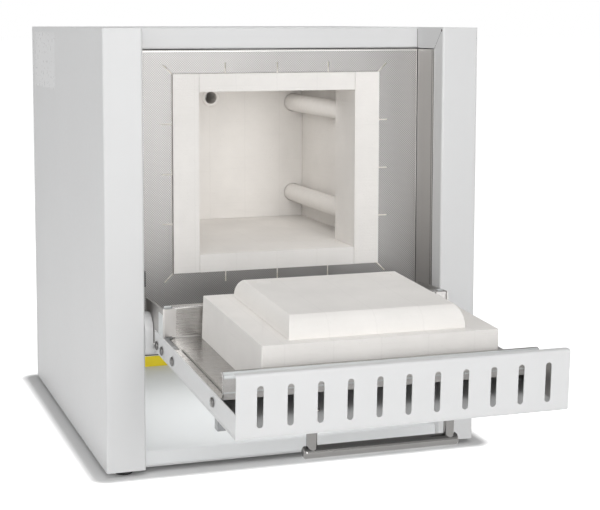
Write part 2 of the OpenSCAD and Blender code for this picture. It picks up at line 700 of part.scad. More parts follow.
// Mains switch: housing with a cavity, and the rocker on its two stub axles
rocker_tilt = 10;
rocker_y = body_d - 1;
rocker_t = 7;
axle_d = 3;
module switch_box(y0, y1, edge)
    inward(y0, y1) square([rocker_w + 2 * edge, rocker_h + 2 * edge], center = true);
module switch_housing() color(black) in_cabinet()
    translate([switch_place[0], 0, switch_place[1]]) difference() {
        union() {
            switch_box(body_d - 20, body_d + cut, 2.9);
            switch_box(body_d, body_d + 2, 5);
        }
        switch_box(body_d - 10, body_d + 3, 0);
        bar_x([-rocker_w / 2 - 1.8, rocker_y, 0], axle_d + 0.1, rocker_w + 3.6);
    }
module mains_rocker() color([0.16, 0.16, 0.17]) in_cabinet()
    translate([switch_place[0], rocker_y, switch_place[1]]) rotate([-rocker_tilt, 0, 0]) {
        w = rocker_w / 2 - 0.5;
        h = rocker_h / 2 - 1.3;
        across(-w, w) polygon([[-3, -h], [-rocker_t, 0], [-3, h], [5, h], [3.2, 0], [5, -h]]);
        bar_x([-rocker_w / 2 - 1.3, 0, 0], axle_d, rocker_w + 2.6);
    }

// Hinges: brackets on the pillars, pins with heads, and the stops under the open door
boss_r = 13;
rim_gap = fit_gap;
stop_s = 11;
stop_drop = boss_r + 0.2 + rim_gap + stop_d / 2;
stop_place = [hinge_y - stop_s * sin(open_angle) - stop_drop * cos(open_angle),
    hinge_z + stop_s * cos(open_angle) - stop_drop * sin(open_angle)];
module hinge_bracket() difference() {
    across(-bay, -bracket_x) {
        translate([hinge_y, hinge_z]) circle(r = bracket_r);
        translate([hinge_y - bracket_r, bracket_foot]) square([2 * bracket_r, hinge_z - bracket_foot]);
    }
    bar_x([-bay + 3, hinge_y, hinge_z], pin_d, bracket_t);
    bar_x([-bay + 3, stop_place[0], stop_place[1]], stop_d, bracket_t);
}
module hinge_bracket_left() color(white_paint) in_cabinet() hinge_bracket();
module hinge_bracket_right() color(white_paint) in_cabinet() mirror([1, 0, 0]) hinge_bracket();
bush_x = bracket_x - rim_gap;
bush_l = arm_t + 1;
pin_head = bush_x - bush_l - rim_gap;
module hinge_pins() color(stainless) in_cabinet() both_sides() {
    bar_x([-bay + 3, hinge_y, hinge_z], pin_d, bay - 3 - pin_head + cut);
    bar_x([-pin_head, hinge_y, hinge_z], pin_d + 3, 1.8);
    bar_x([-bay + 3, stop_place[0], stop_place[1]], stop_d, bay - 3 - pin_head + 1);
}

// Door switch on the front plate, with the plunger that the shut arm would press
arm_edge = [[53, -23], [59.5, 65]];
switch_up = 52.5;
switch_z = hinge_z + switch_up;
tip_y = arm_edge[0][0] + (arm_edge[1][0] - arm_edge[0][0]) * (switch_up - arm_edge[0][1])
    / (arm_edge[1][1] - arm_edge[0][1]) + 0.4;
plunger_x = -arm_x + arm_t / 2;
plunger_d = 3.5;
module door_switch() color(black) in_cabinet() difference() {
    union() {
        block([plunger_x - 5, tip_y + 7, switch_z - 10], [plunger_x + 5, niche_d, switch_z + 10]);
        bar_y([plunger_x, tip_y + 4, switch_z], plunger_d + 3, 5);
    }
    bar_y([plunger_x, tip_y + 3, switch_z], plunger_d + 0.2, 12);
}
module switch_plunger() color([0.85, 0.2, 0.15]) in_cabinet()
    bar_y([plunger_x, tip_y, switch_z], plunger_d, 10);

// Door shell: face with side flanges, slotted head panel and its return
slot_y = head_d / 2 - 0.9;
slot_pitch = 2 * (door_x - slot_margin) / (slot_n - 1);
hole_pitch = air_travel + air_hole + 2;
hole_drop = 40;
neck = [4, 8];
module air_marks(d, shift) for (k = [0 : 2])
    bar_y([-air_x, -cut, hinge_z + air_up - hole_drop - k * hole_pitch + shift], d, 6);
module door_shell() color(white_paint) on_door() difference() {
    union() {
        across(-door_x, door_x) folded([[head_d, door_top - head_return], [head_d, door_top], [0, door_top],
            [0, shell_z]], shell_t);
        upright(shell_z, door_top - shell_t / 2) folded([[-door_x, flange_d], [-door_x, 0], [door_x, 0],
            [door_x, flange_d]], shell_t);
    }
    for (k = [-(slot_n - 1) / 2 : (slot_n - 1) / 2]) upright(door_top - 3, door_top + cut)
        translate([k * slot_pitch, slot_y]) rotate(90) slot_outline(slot_l, slot_w);
    flange_holes(3.8);
    for (sx = [-1, 1]) bar_y([sx * post_pitch / 2, -cut, hinge_z + handle_up], 5, 4);
    air_marks(air_hole, 0);
    block([-air_x - neck[0] / 2 - 0.3, -cut, hinge_z + air_up - neck[1] / 2 - 0.5],
        [-air_x + neck[0] / 2 + 0.3, shell_t + cut, hinge_z + air_up + neck[1] / 2 + air_travel + 0.5]);
}
door_screw_head = 11;
screw_at = [[9.6, 43], [9.6, 68], [10.6, 117], [14.4, 286]];
module flange_holes(d) both_sides() for (p = screw_at)
    bar_x([-door_x - cut, p[0], hinge_z + p[1]], d, 6);
module door_screws() color(stainless) on_door() {
    both_sides() for (p = screw_at) translate([-door_x, p[0], hinge_z + p[1]]) {
        rotate([0, -90, 0]) dome(door_screw_head, 3.2);
        bar_x([-cut, 0, 0], 3.4, 5.5);
    }
    for (sx = [-1, 1]) translate([sx * post_pitch / 2, shell_t, hinge_z + handle_up]) {
        rotate([-90, 0, 0]) dome(10, 3);
        bar_y([0, -shell_t - 8, 0], 4.8, shell_t + 9);
    }
}

// Domed head standing on z = 0
module dome(d, h) rotate_extrude() polygon(concat([[0, 0]],
    [for (a = [0 : 15 : 90]) [d / 2 * cos(a), h * (0.3 + 0.7 * sin(a)) * (a < 90 ? 1 : 1)]]));

// Tray that carries the bricks: floor with side legs, rear wall and front wall
tray_low = hinge_z + 113;
tray_rear_x = tray_x - 12.3;
tray_floor_x = tray_x - 8.3;
tray_front_x = tray_x - 2.3;
roll_r = 2.5;
front_roll = 6.5;
tray_lip = 8;
module door_tray() color(stainless) on_door() difference() {
    union() {
        upright(tray_low, tray_z1 - 4) folded([[tray_x, 4], [tray_x, base_y], [-tray_x, base_y],
            [-tray_x, 4]], tray_t, roll_r);
        upright(tray_z0 + 4, tray_low + cut)
            folded([[tray_floor_x, base_y], [-tray_floor_x, base_y]], tray_t);
        across(-tray_rear_x, tray_rear_x) folded([[tray_y, tray_z0 + 12], [tray_y, tray_z0],
            [tray_y + tray_tail, tray_z0], [tray_y + tray_tail, tray_z0 - tray_lip]], tray_t);
        across(-tray_front_x, tray_front_x) folded([[tray_y + tray_wall, tray_z1 - tray_lip],
            [tray_y + tray_wall, tray_z1], [tray_y, tray_z1], [tray_y, tray_z1 - 12]], tray_t, front_roll);
    }
    flange_holes(3.8);
    anchor_cuts(anchor_d + 0.4);
}
module anchor_cuts(d) for (sx = [-1, 1]) bar_y([sx * anchor_x, tray_y - 6, anchor_z], d, 120);

// Base brick with sloped sides and cut corners, and the plug brick with rounded flanks
edge_cut = 4;
module base_brick() color(brick) on_door() difference() {
    intersection() {
        inward(base_y, base_face) polygon([
            [base_x, base_z0 + edge_cut], [base_x, base_z1 - edge_cut],
            [base_x - edge_cut, base_z1], [edge_cut - base_x, base_z1],
            [-base_x, base_z1 - edge_cut], [-base_x, base_z0 + edge_cut],
            [edge_cut - base_x, base_z0], [base_x - edge_cut, base_z0]]);
        across(-base_x, base_x) polygon([[base_y, base_z0], [base_face, base_z0 + base_taper],
            [base_face, base_z1 - base_taper], [base_y, base_z1]]);
        upright(base_z0 - cut, base_z1 + cut) polygon([[-base_x, base_y], [base_x, base_y],
            [base_x - base_taper, base_face], [-base_x + base_taper, base_face]]);
    }
    anchor_cuts(anchor_d + 0.4);
}
// Outline across the plug: each flank stands upright at its foot and leans in towards the face
lean = 67.5;
function flank(half, inset) = [for (a = [0 : lean / 9 : lean])
    [half - inset * (1 - cos(a)) / (1 - cos(lean)), base_face + plug_d * sin(a) / sin(lean)]];
function both_flanks(half, inset) = let (one = flank(half, inset))
    concat(one, reversed([for (p = one) [-p[0], p[1]]]));
module plug_brick() color(brick) on_door() difference() {
    intersection() {
        upright(plug_z0, plug_z0 + plug_h) polygon(both_flanks(plug_w / 2, plug_side_in));
        translate([0, 0, plug_z0 + plug_h / 2]) across(-plug_w, plug_w)
            polygon([for (p = both_flanks(plug_h / 2, plug_end_in)) [p[1], p[0]]]);
    }
    anchor_cuts(anchor_d + 0.4);
    for (sx = [-1, 1]) bar_y([sx * anchor_x, base_face + plug_d - cap_t, anchor_z], cap_d, cap_t + cut);
}
module brick_anchors() color(stainless) on_door() for (sx = [-1, 1]) {
    bar_y([sx * anchor_x, tray_y - 7, anchor_z], anchor_d, base_face + plug_d - cap_t - tray_y + 7);
    bar_y([sx * anchor_x, tray_y - 1.5, anchor_z], 16, 1.5);
    round_y([sx * anchor_x, tray_y - 6.5, anchor_z], 11.5, 11.5, 5.5, 6);
}
module anchor_caps() color([0.97, 0.96, 0.94]) on_door() for (sx = [-1, 1])
    bar_y([sx * anchor_x, base_face + plug_d - cap_t, anchor_z], cap_d - 0.4, cap_t - 0.4);

// Hinge arms inside the shell's flanges, with their bushes
module arm_outline() {
    translate([hinge_y, hinge_z]) circle(r = boss_r);
    translate([0, hinge_z]) polygon([[hinge_y - 3.6, -12.5], arm_edge[0], arm_edge[1], [6, 70],
        [hinge_y - boss_r, 0], [hinge_y, -5]]);
}
module hinge_arm() difference() {
    union() {
        across(-arm_x, -arm_x + arm_t) arm_outline();
        block([-arm_x + arm_t / 2, base_y + tray_t + bend_r, tray_z0 + tray_t],
            [-tray_rear_x + 4, arm_edge[1][0] - 0.5, tray_z0 + tray_t + arm_t]);
    }
    bar_x([-arm_x - cut, hinge_y, hinge_z], bush_d, arm_t + 2 * cut);
    flange_holes(3.8);
}
module hinge_arm_left() color(stainless) on_door() hinge_arm();
module hinge_arm_right() color(stainless) on_door() mirror([1, 0, 0]) hinge_arm();
module hinge_bushes() color(brass) on_door() both_sides() difference() {
    bar_x([-bush_x, hinge_y, hinge_z], bush_d, bush_l);
    bar_x([-bush_x - cut, hinge_y, hinge_z], pin_d + 2 * pin_gap, bush_l + 2 * cut);
}

// Handle bar with rounded ends on two posts
end_r = 3;
function bar_edge(a) = [bar_d / 2 - end_r * (1 - sin(a)), end_r * (1 - cos(a))];
module handle() color(stainless) on_door() difference() {
    union() {
        translate([-bar_l / 2, -bar_out, hinge_z + handle_up]) rotate([0, 90, 0]) rotate_extrude()
            polygon(concat([[0, 0]], [for (a = [0 : 15 : 90]) bar_edge(a)],
                [for (a = [90 : -15 : 0]) [bar_edge(a)[0], bar_l - bar_edge(a)[1]]], [[0, bar_l]]));
        for (sx = [-1, 1]) bar_y([sx * post_pitch / 2, -bar_out, hinge_z + handle_up], post_d, bar_out);
    }
    for (sx = [-1, 1]) bar_y([sx * post_pitch / 2, -8, hinge_z + handle_up], 4.8, 8 + cut);
}

// Fresh-air slide: plate behind the door's face, neck through its slot, and knob in front
slide_half = 6.5;
slide_z = hinge_z + air_up - hole_drop - 2 * hole_pitch - air_travel - air_hole;
module air_slide() color(black) on_door() difference() {
    union() {
        block([-air_x - slide_half, shell_t + rim_gap, slide_z],
            [-air_x + slide_half, shell_t + rim_gap + tray_t, hinge_z + air_up + knob[1]]);
        block([-air_x - neck[0] / 2, -rim_gap - cut, hinge_z + air_up - neck[1] / 2],
            [-air_x + neck[0] / 2, shell_t + rim_gap + tray_t / 2, hinge_z + air_up + neck[1] / 2]);
        block([-air_x - knob[0] / 2, -rim_gap - knob[2], hinge_z + air_up - knob[1] / 2],
            [-air_x + knob[0] / 2, -rim_gap, hinge_z + air_up + knob[1] / 2]);
    }
    air_marks(air_hole, -air_travel);
}

casing_left();
casing_right();
roof_panel();
rear_cover();
chassis_plate();
compartment_pan();
compartment_back();
compartment_ceiling();
marker_strip();
rating_plate();
niche_liner_left();
niche_liner_right();
front_plate();
collar_left();
collar_right();
collar_top();
collar_bottom();
chamber_wall_left();
chamber_wall_right();
chamber_roof();
chamber_floor();
chamber_rear();
backing_blankets();
inner_case_wrap();
inner_case_tray();
support_rails();
heating_tubes();
heating_windings();
element_clamps();
element_leads();
thermocouple();
exhaust_duct();
exhaust_spigot();
heat_sink();
solid_state_relay();
safety_contactor();
terminal_block();
controller_socket();
cable_gland();
switch_housing();
mains_rocker();
cover_screws();
feet();
hinge_bracket_left();
hinge_bracket_right();
hinge_pins();
door_switch();
switch_plunger();
door_shell();
door_tray();
base_brick();
plug_brick();
brick_anchors();
anchor_caps();
hinge_arm_left();
hinge_arm_right();
hinge_bushes();
door_screws();
handle();
air_slide();
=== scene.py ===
# Dental lab furnace: finishes, small fittings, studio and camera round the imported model.
# Metres, +Z up, the front faces -Y and the door stands open.
import json
import math

import bmesh
import bpy
from mathutils import Matrix, Vector


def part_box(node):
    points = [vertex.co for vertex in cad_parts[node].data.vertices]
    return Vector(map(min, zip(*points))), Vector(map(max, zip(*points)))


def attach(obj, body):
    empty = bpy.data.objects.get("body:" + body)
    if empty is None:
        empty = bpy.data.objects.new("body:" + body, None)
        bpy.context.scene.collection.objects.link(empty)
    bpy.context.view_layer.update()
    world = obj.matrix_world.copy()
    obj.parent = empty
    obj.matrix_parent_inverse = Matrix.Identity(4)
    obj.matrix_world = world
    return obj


bl_info = {
    "name": "Dental Lab Furnace",
    "version": (1, 0, 0),
    "blender": (4, 5, 0),
    "location": "View3D > Sidebar > Furnace",
    "description": "Finishes, small fittings and a studio for a bench-top dental furnace",
    "category": "Add Mesh",
}

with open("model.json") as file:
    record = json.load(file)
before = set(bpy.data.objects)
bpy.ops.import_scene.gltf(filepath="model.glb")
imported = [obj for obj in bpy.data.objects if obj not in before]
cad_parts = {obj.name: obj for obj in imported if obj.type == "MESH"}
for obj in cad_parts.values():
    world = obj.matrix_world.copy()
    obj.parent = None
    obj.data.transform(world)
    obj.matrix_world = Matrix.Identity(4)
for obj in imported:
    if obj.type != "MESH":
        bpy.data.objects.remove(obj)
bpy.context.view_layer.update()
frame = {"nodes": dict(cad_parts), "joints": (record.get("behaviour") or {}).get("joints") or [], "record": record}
NODES = frame["nodes"]
MM = 0.001


def joint(name):
    """The joint of that name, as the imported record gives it."""
    return next(j for j in frame["joints"] if j["name"] == name)


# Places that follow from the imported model
HINGE = Vector(joint("door_hinge")["pos_m"])
OPEN = math.radians(joint("door_hinge")["range_deg"][1])
PILLAR_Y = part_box("casing_left")[0].y
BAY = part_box("niche_liner_right")[0].x
FLOOR_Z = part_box("feet")[0].z

# Depth of the hinge axis behind the shut door's face
HINGE_DEPTH = 20 * MM
# Turns a door piece drawn shut, as (x, depth behind its face, height above the hinge), to the open pose
ON_DOOR = (Matrix.Translation(HINGE) @ Matrix.Rotation(OPEN, 4, "X")
           @ Matrix.Translation((0.0, -HINGE_DEPTH, 0.0)))


# Materials

class Finish:
    """A node material under construction, with short helpers for its texture nodes."""

    def __init__(self, name, color, roughness, metallic=0.0):
        self.material = bpy.data.materials.new(name)
        self.material.use_nodes = True
        self.tree = self.material.node_tree
        self.shader = self.tree.nodes["Principled BSDF"]
        self.set("Base Color", (*color, 1.0))
        self.set("Roughness", roughness)
        self.set("Metallic", metallic)
        self.color = color
        self.place = self.node("ShaderNodeTexCoord").outputs["Object"]

    def set(self, socket, value):
        self.shader.inputs[socket].default_value = value

    def node(self, kind, inputs=(), **settings):
        made = self.tree.nodes.new(kind)
        for key, value in settings.items():
            setattr(made, key, value)
        for key, value in dict(inputs).items():
            self.join(value, made.inputs[key])
        return made

    def join(self, value, socket):
        if isinstance(value, bpy.types.NodeSocket):
            self.tree.links.new(value, socket)
        else:
            socket.default_value = value

    def stretched(self, scale, turn=(0.0, 0.0, 0.0)):
        made = self.node("ShaderNodeMapping", {"Vector": self.place, "Rotation": turn, "Scale": scale})
        return made.outputs["Vector"]

    def noise(self, scale, vector=None, detail=4.0, rough=0.55):
        made = self.node("ShaderNodeTexNoise", {
            "Vector": vector or self.place, "Scale": scale, "Detail": detail, "Roughness": rough})
        return made.outputs["Fac"]

    def math(self, operation, first, second=0.0):
        return self.node("ShaderNodeMath", {0: first, 1: second}, operation=operation).outputs[0]

    def remap(self, value, low, high, to_low, to_high):
        made = self.node("ShaderNodeMapRange", {
            "Value": value, "From Min": low, "From Max": high, "To Min": to_low, "To Max": to_high})
        return made.outputs["Result"]

    def mix(self, factor, first, second):
        made = self.node("ShaderNodeMix", data_type="RGBA")
        self.join(factor, made.inputs["Factor"])
        self.join(first if isinstance(first, bpy.types.NodeSocket) else (*first, 1.0), made.inputs["A"])
        self.join(second if isinstance(second, bpy.types.NodeSocket) else (*second, 1.0), made.inputs["B"])
        return made.outputs["Result"]

    def tint(self, value):
        self.join(value, self.shader.inputs["Base Color"])

    def roughness(self, value):
        self.join(value, self.shader.inputs["Roughness"])

    def bump(self, height, depth, strength=1.0):
        normal = self.shader.inputs["Normal"]
        inputs = {"Height": height, "Distance": depth, "Strength": strength}
        if normal.is_linked:
            inputs["Normal"] = normal.links[0].from_socket
        self.join(self.node("ShaderNodeBump", inputs).outputs["Normal"], normal)


def shade(color, factor):
    """The colour made lighter or darker by a factor."""
    return tuple(channel * factor for channel in color)


def powder_coat(name, color, roughness=0.42, grain=0.00012):
    """Powder-coated sheet: fine orange peel and a barely uneven tone."""
    made = Finish(name, color, roughness)
    made.tint(made.mix(made.noise(9.0), shade(color, 0.975), shade(color, 1.02)))
    made.roughness(made.remap(made.noise(160.0), 0.3, 0.7, roughness - 0.04, roughness + 0.05))
    made.bump(made.noise(700.0, detail=2.0), grain, 0.35)
    return made.material


def fibre_brick(name, color, seam_pitch):
    """Vacuum-formed fibre brick: cut marks along it, loose fibres, faint stains and moulding seams; its cut marks
    and pits are darkened as painted shade in their hollows.
    """
    made = Finish(name, color, 0.93)
    made.set("Specular IOR Level", 0.18)
    cuts = made.noise(1.0, made.stretched((9.0, 9.0, 420.0)), 5.0, 0.65)
    fibres = made.noise(1.0, made.stretched((260.0, 260.0, 900.0)), 6.0, 0.7)
    stains = made.noise(11.0, detail=5.0, rough=0.6)
    tone = made.mix(made.remap(stains, 0.35, 0.68, 0.0, 1.0), shade(color, 0.95), shade(color, 1.015))
    # Painted shade: the grooves of the cut marks are darkened
    tone = made.mix(made.remap(cuts, 0.28, 0.42, 0.16, 0.0), tone, shade(color, 0.80))
    cells = made.node("ShaderNodeTexVoronoi", {"Vector": made.place, "Scale": 210.0}, feature="F1")
    pits = cells.outputs["Distance"]
    # Painted shade: the hollows of the pits are darkened
    tone = made.mix(made.remap(pits, 0.05, 0.13, 0.22, 0.0), tone, shade(color, 0.72))
    across = made.node("ShaderNodeSeparateXYZ", {"Vector": made.place}).outputs["X"]
    wandering = made.math("ADD", across, made.math("MULTIPLY", cuts, 0.004))
    from_seam = made.math("PINGPONG", wandering, seam_pitch / 2)
    tone = made.mix(made.remap(from_seam, 0.0, 0.0012, 0.25, 0.0), tone, shade(color, 0.84))
    made.tint(tone)
    made.bump(fibres, 0.0006, 0.5)
    made.bump(cuts, 0.0008, 0.35)
    made.bump(made.remap(pits, 0.02, 0.16, 0.0, 1.0), 0.0005, 0.4)
    return made.material


def brushed(name, color, roughness, grain, turn=(0.0, 0.0, 0.0)):
    """Brushed stainless sheet or bar; grain gives the stretch of its scratches along X, Y and Z."""
    made = Finish(name, color, roughness, 1.0)
    lines = made.noise(1.0, made.stretched(grain, turn), 6.0, 0.7)
    clouds = made.noise(7.0, detail=3.0)
    tone = made.mix(lines, shade(color, 0.97), shade(color, 1.03))
    made.tint(made.mix(made.remap(clouds, 0.3, 0.7, 0.0, 0.5), tone, shade(color, 1.08)))
    made.roughness(made.remap(lines, 0.3, 0.7, roughness - 0.05, roughness + 0.06))
    made.bump(lines, 0.0001, 0.03)
    return made.material


def embossed_steel(name, color, pitch):
    """Stainless sheet rolled with a fine diagonal grid of dots, and painted sheen in soft lighter streaks."""
    made = Finish(name, color, 0.44, 1.0)
    split = made.node("ShaderNodeSeparateXYZ", {"Vector": made.place}).outputs
    turns = math.pi / (pitch * MM)
    rows = made.math("SINE", made.math("MULTIPLY", made.math("ADD", split["X"], split["Z"]), turns))
    columns = made.math("SINE", made.math("MULTIPLY", made.math("SUBTRACT", split["X"], split["Z"]), turns))
    dots = made.math("MULTIPLY", made.math("MULTIPLY", rows, columns), made.math("MULTIPLY", rows, columns))
    # Painted sheen: soft streaks of lighter colour stand in for reflections on the plate
    sheen = made.noise(1.0, made.stretched((5.0, 5.0, 1.5)), 3.0)
    tone = made.mix(dots, shade(color, 0.78), shade(color, 1.6))
    made.tint(made.mix(made.remap(sheen, 0.35, 0.65, 0.0, 0.45), tone, shade(color, 1.18)))
    made.bump(dots, 0.0004, 0.22)
    return made.material


def moulded(name, color, roughness=0.48):
    """Moulded plastic or rubber with a fine spark-eroded grain."""
    made = Finish(name, color, roughness)
    made.tint(made.mix(made.noise(60.0), shade(color, 0.85), shade(color, 1.2)))
    made.bump(made.noise(1600.0, detail=2.0), 0.00008, 0.5)
    return made.material


def fired_ceramic(name, color):
    """Dense fired ceramic with a dry skin and a little speckle."""
    made = Finish(name, color, 0.62)
    made.tint(made.mix(made.noise(120.0, detail=6.0), shade(color, 0.93), shade(color, 1.03)))
    made.bump(made.noise(900.0), 0.0002, 0.35)
    return made.material


def woven_sleeve(name, color):
    """Glass-fibre sleeving or blanket with crossing threads."""
    made = Finish(name, color, 0.9)
    threads = made.node("ShaderNodeTexWave", {
        "Vector": made.stretched((1.0, 1.0, 1.0), (0.6, 0.4, 0.8)), "Scale": 260.0, "Distortion": 2.5,
        "Detail": 2.0}).outputs["Fac"]
    made.tint(made.mix(threads, shade(color, 0.82), shade(color, 1.05)))
    made.bump(threads, 0.0004, 0.6)
    return made.material


def cast_metal(name, color, roughness):
    """Machined or cast metal with fine tool marks."""
    made = Finish(name, color, roughness, 1.0)
    marks = made.noise(500.0, detail=4.0)
    made.tint(made.mix(marks, shade(color, 0.85), shade(color, 1.1)))
    made.bump(marks, 0.0001, 0.4)
    return made.material


# Distance between the faint moulding seams of the bricks
BRICK_SEAM_PITCH = 55 * MM
# Stretch of the brushing along X, Y and Z
LENGTHWAYS = (12.0, 900.0, 900.0)
UPRIGHT = (900.0, 900.0, 10.0)
ALONG_DEPTH = (900.0, 12.0, 900.0)


def make_finishes(look):
    """One material for each material slot of the record."""
    steel = tuple(look.steel_color)
    brick = tuple(look.brick_color)
    paint = tuple(look.paint_color)
    return {
        "white_paint": powder_coat("white_paint", paint),
        # Partly painted light: the compartment's lighter paint stands in for its brightly lit inside
        "compartment_paint": powder_coat("compartment_paint", tuple(look.pan_color), 0.5, 0.0003),
        "yellow_strip": powder_coat("yellow_strip", tuple(look.strip_color), 0.45),
        "plate_label": powder_coat("plate_label", shade(paint, 0.97), 0.3),
        # Painted light: the liner's steel is lightened to stand in for the bright surroundings it would mirror
        "stainless_liner": brushed("stainless_liner", shade(steel, 1.38), 0.36, UPRIGHT),
        "textured_stainless": embossed_steel("textured_stainless", shade(steel, 0.64), look.emboss_pitch),
        "stainless_sheet": brushed("stainless_sheet", shade(steel, 1.15), 0.27, LENGTHWAYS),
        # Painted shade: the handle bar's steel is darkened to stand in for the dark surroundings it would mirror
        "stainless_bar": brushed("stainless_bar", shade(steel, 0.40), 0.16, LENGTHWAYS),
        "stainless_arm": brushed("stainless_arm", shade(steel, 1.15), 0.42, ALONG_DEPTH),
        "gap_shade": moulded("gap_shade", (0.12, 0.115, 0.11), 0.6),
        # Painted light and shade: lighter and darker copies of the steel for the beads, the tray's skin and cheek,
        # and the arm posts
        "bright_fold": cast_metal("bright_fold", shade(steel, 1.5), 0.38),
        "satin_fold": cast_metal("satin_fold", shade(steel, 1.5), 0.5),
        "dark_fold": cast_metal("dark_fold", shade(steel, 0.5), 0.4),
        "dark_screws": cast_metal("dark_screws", shade(steel, 0.32), 0.16),
        "grey_plastic": moulded("grey_plastic", (0.33, 0.34, 0.345), 0.4),
        "screw_steel": cast_metal("screw_steel", shade(steel, 1.15), 0.2),
        "insulation_brick": fibre_brick("insulation_brick", brick, BRICK_SEAM_PITCH),
        "blanket": woven_sleeve("blanket", (0.76, 0.73, 0.64)),
        "dense_ceramic": fired_ceramic("dense_ceramic", shade(brick, 1.02)),
        "element_alloy": cast_metal("element_alloy", (0.16, 0.14, 0.13), 0.55),
        "brass_parts": cast_metal("brass_parts", (0.55, 0.38, 0.13), 0.32),
        "lead_sleeve": woven_sleeve("lead_sleeve", (0.74, 0.68, 0.58)),
        "black_aluminium": cast_metal("black_aluminium", (0.05, 0.05, 0.052), 0.45),
        "black_plastic": moulded("black_plastic", (0.018, 0.018, 0.02)),
        "red_plastic": moulded("red_plastic", (0.55, 0.03, 0.02), 0.4),
        "rubber_feet": moulded("rubber_feet", (0.014, 0.014, 0.015), 0.7),
    }


def slot_of(node):
    """The record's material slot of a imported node."""
    return next(part["material_slot"] for part in frame["record"]["subparts"] if part["node"] == node)


def finish_of(piece, material):
    piece.data.materials.clear()
    piece.data.materials.append(material)


# Nodes whose finish differs from that of their material slot
OTHER_FINISHES = {
    "hinge_arm_left": "stainless_arm", "hinge_arm_right": "stainless_arm", "door_screws": "dark_screws",
    "air_slide": "grey_plastic",
}
# Softened edges, in millimetres, for the nodes where an edge shows
EDGES = {
    "plug_brick": 0.6, "base_brick": 0.9, "collar_left": 0.5, "collar_right": 0.5, "collar_top": 0.5,
    "collar_bottom": 0.5, "hinge_bracket_left": 0.9, "hinge_bracket_right": 0.9, "mains_rocker": 0.4,
    "switch_housing": 0.5, "controller_socket": 0.5, "cable_gland": 0.4, "air_slide": 0.35,
}


def soften(piece, width):
    """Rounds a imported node's sharp edges for the render, without touching its mesh."""
    weld = piece.modifiers.new("weld", "WELD")
    weld.merge_threshold = 1e-5
    bevel = piece.modifiers.new("edge", "BEVEL")
    bevel.width = width * MM
    bevel.segments = 3
    bevel.limit_method = "ANGLE"
    bevel.angle_limit = math.radians(35)
    bevel.use_clamp_overlap = True


# Mesh helpers

def mesh_piece(name, bm, material, body, smooth=False):
    """Finished object from a bmesh, riding on a body of the model."""
    mesh = bpy.data.meshes.new(name)
    bmesh.ops.recalc_face_normals(bm, faces=bm.faces)
    bm.to_mesh(mesh)
    bm.free()
    for face in mesh.polygons:
        face.use_smooth = smooth
    piece = bpy.data.objects.new(name, mesh)
    bpy.context.scene.collection.objects.link(piece)
    piece.data.materials.append(material)
    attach(piece, body)
    return piece


def add_box(bm, low, high, bevel=0.0):
    """Box between two corners, with rounded edges if asked."""
    low, high = Vector(low), Vector(high)
    size = Matrix.Diagonal((*(high - low), 1.0))
    made = bmesh.ops.create_cube(bm, size=1.0, matrix=Matrix.Translation((low + high) / 2) @ size)
    if bevel:
        edges = {edge for vert in made["verts"] for edge in vert.link_edges}
        bmesh.ops.bevel(bm, geom=list(edges), offset=bevel, segments=3, profile=0.5, affect="EDGES")


def add_lathe(bm, centre, axis, profile, segments=32):
    """Solid of revolution: profile is a list of (distance along the axis, radius)."""
    turn = Vector(axis).to_track_quat("Z", "Y").to_matrix()
    rings = []
    for along, radius in profile:
        if radius <= 0:
            rings.append([bm.verts.new(Vector(centre) + turn @ Vector((0, 0, along)))])
            continue
        rings.append([bm.verts.new(Vector(centre) + turn @ Vector((
            radius * math.cos(k * math.tau / segments), radius * math.sin(k * math.tau / segments), along)))
            for k in range(segments)])
    for first, second in zip(rings, rings[1:]):
        for k in range(segments):
            corners = [first[k % len(first)], first[(k + 1) % len(first)],
                       second[(k + 1) % len(second)], second[k % len(second)]]
            bm.faces.new(list(dict.fromkeys(corners)))


def sheet_strip(bm, low, high):
    """Flat strip between two corners, its edges broken by a fifth of its thinnest side."""
    thin = min(abs(a - b) for a, b in zip(low, high))
    add_box(bm, low, high, thin / 5)


def profile_strip(bm, outline, left, right):
    """Closed outline of (y, z) points, drawn out from left to right along X."""
    ends = [[bm.verts.new((x, y, z)) for y, z in outline] for x in (left, right)]
    for end in ends:
        bm.faces.new(end)
    for k in range(len(outline)):
        after = (k + 1) % len(outline)
        bm.faces.new((ends[0][k], ends[0][after], ends[1][after], ends[1][k]))


def shut_box(node):
    """Box of a door node in shut-door coordinates."""
    back = ON_DOOR.inverted() @ NODES[node].matrix_world
    points = [back @ vert.co for vert in NODES[node].data.vertices]
    return (Vector([min(point[k] for point in points) for k in range(3)]),
            Vector([max(point[k] for point in points) for k in range(3)]))


def mirrored(bm):
    """Adds the mirror image across the middle plane of the furnace."""
    twin = bmesh.ops.duplicate(bm, geom=bm.verts[:] + bm.edges[:] + bm.faces[:])["geom"]
    verts = [part for part in twin if isinstance(part, bmesh.types.BMVert)]
    bmesh.ops.scale(bm, vec=(-1.0, 1.0, 1.0), verts=verts)


def door_piece(name, bm, finish, smooth=False):
    """Finished fitting of the door from a bmesh drawn for the shut door."""
    bm.transform(ON_DOOR)
    return mesh_piece(name, bm, bpy.data.materials[finish], "door", smooth)


# User settings

